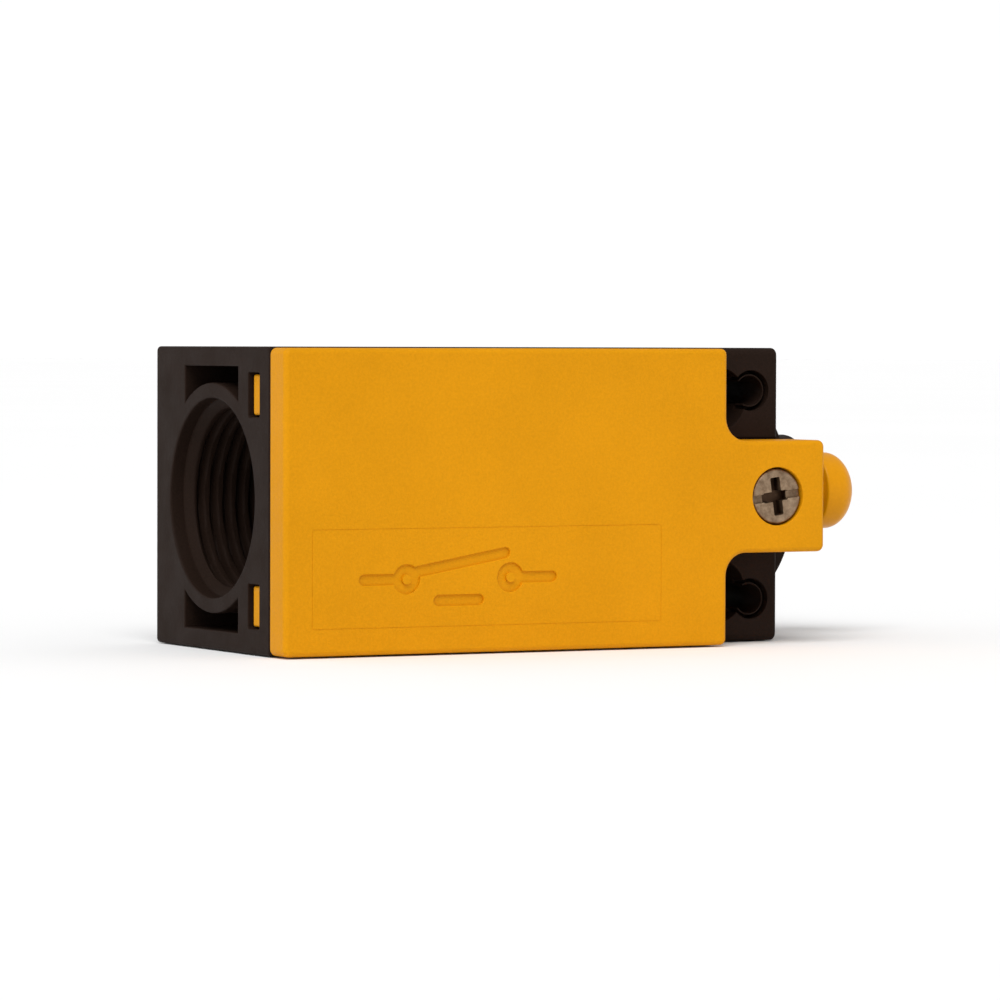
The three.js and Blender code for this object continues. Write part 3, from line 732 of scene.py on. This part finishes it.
def slotted_screw(node, end_radius, shank, head, neck, slot_depth, slot_half):
    """A cheese-head screw along Y, with one straight slot."""
    low, high = reach(node)
    x, z = (low.x + high.x) / 2, (low.z + high.z) / 2
    top, end = low.y, high.y
    body = turned([
        (0, top, 0), (head, top, 0.3), (head, neck, 0.1), (shank, neck, 0), (shank, end - 0.5, 0),
        (end_radius, end, 0), (0, end, 0),
    ], "Y", x, z, 48)
    slot = cutter(rectangle(x - 4, x + 4, z - slot_half, z + slot_half), "Y", top + slot_depth, top, 0.06)
    piece(f"{node}_piece", cut(body, slot), ZINC, node)


def spring(node, radius, wire, turns):
    """A coil spring of round wire along the plunger's axis."""
    low, high = reach(node)
    first, last = low.x + wire / 2, high.x - wire / 2
    steps = round(turns * 28)
    rise = (last - first) / (2 * math.pi * turns * radius)
    rings = []
    for k in range(steps + 1):
        t = k / steps
        angle = 2 * math.pi * turns * t
        outward = Vector((0, math.cos(angle), math.sin(angle)))
        along = Vector((rise, -math.sin(angle), math.cos(angle))).normalized()
        across = along.cross(outward)
        centre = Vector((first + (last - first) * t, AXIS_Y, 0)) + outward * radius
        section = circle(0, 0, wire / 2, 10)
        rings.append([centre + outward * p.x + across * p.y for p in section])
    return piece(f"{node}_piece", skin(rings), SPRING, node)


def springs():
    """The return spring and the bridges' springs. The two that the plunger's travel would shorten get a mesh
    of their own.
    """
    slide = next(j for j in frame["record"]["behaviour"]["joints"] if j["name"] == "plunger_slide")
    pressed = slide["range_m"][1] / MM
    past_bridge = 0.6 * pressed  # the closing bridge follows the plunger at 0.4 of its travel
    for node, radius, wire, turns, shortening, held_end in (
        ("return_spring", 1.8, 0.6, 6, pressed, 0),
        ("nc_bridge_spring", 1.4, 0.4, 4, 0, 0),
        ("no_bridge_spring", 1.4, 0.4, 4, past_bridge, 1),
    ):
        made = spring(node, radius, wire, turns)
        if shortening:
            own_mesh(made)


def turned_pieces():
    """The insert, the washer, the seal and the clip."""
    low, high = reach("threaded_insert")
    profile = [
        (INSERT_BORE, low.y, 0.1), (INSERT_RADIUS, low.y, 0.15), (INSERT_RADIUS, 4.9, 0),
        (INSERT_WAIST, 5.1, 0), (INSERT_WAIST, 5.7, 0), (INSERT_RADIUS, 5.9, 0),
        (INSERT_RADIUS, high.y, 0.15), (INSERT_BORE, high.y, 0.1),
    ]
    piece("threaded_insert_piece", turned(profile, "Y", SCREW_X, 0, 48, loop=True), BRASS, "threaded_insert")
    profile = [(1.68, 1.95, 0.08), (2.9, 1.95, 0.12), (2.9, 2.45, 0.12), (1.68, 2.45, 0.08)]
    piece("screw_retainer_piece", turned(profile, "Y", SCREW_X, 0, 48, loop=True), IVORY, "screw_retainer")
    profile = [(3.06, 58.6, 0.05), (3.4, 58.12, 0.1), (4.2, 58.12, 0.15), (4.2, 59.68, 0.15),
               (3.4, 59.68, 0.1), (3.06, 59.2, 0.05)]
    piece("plunger_seal_piece", turned(profile, "X", AXIS_Y, 0, 64, loop=True), RUBBER, "plunger_seal")
    profile = [(4.96, 45.82, 0.08), (6.35, 45.82, 0.08), (6.35, 46.38, 0.08), (4.96, 46.38, 0.08)]
    clip = cut(turned(profile, "X", AXIS_Y, 0, 64, loop=True), box(45, 47, AXIS_Y, AXIS_Y + 8, -2.2, 2.2))
    piece("collar_clip_piece", clip, SPRING, "collar_clip")


def contact_parts():
    """The contact block with its bridges, terminals and screws, and the cover's gasket."""
    for node, material, width in (
        ("contact_block_body", GREY, 0.15), ("contact_block_lid", IVORY, 0.12),
        ("contact_carrier", RED, 0.12), ("nc_bridge", COPPER, 0.08),
        ("no_bridge", COPPER, 0.08), ("cover_gasket", RUBBER, 0.2),
    ):
        rounded_copy(node, material, width)
    for side in ("upper", "lower"):
        slotted_screw(f"block_screw_{side}", 1.1, 1.4, 2.7, 16.95, 1.0, 0.4)
        for contact in ("nc", "no"):
            rounded_copy(f"{contact}_terminal_{side}", BRASS, 0.08)
            rounded_copy(f"{contact}_clamp_plate_{side}", ZINC, 0.1)
            slotted_screw(f"{contact}_terminal_screw_{side}", 1.2, 1.6, 2.9, 9.25, 1.1, 0.4)


make_camera()
make_studio()
base_housing()
front_cover()
head_collar()
plunger()
cover_screw()
contact_parts()
turned_pieces()
springs()
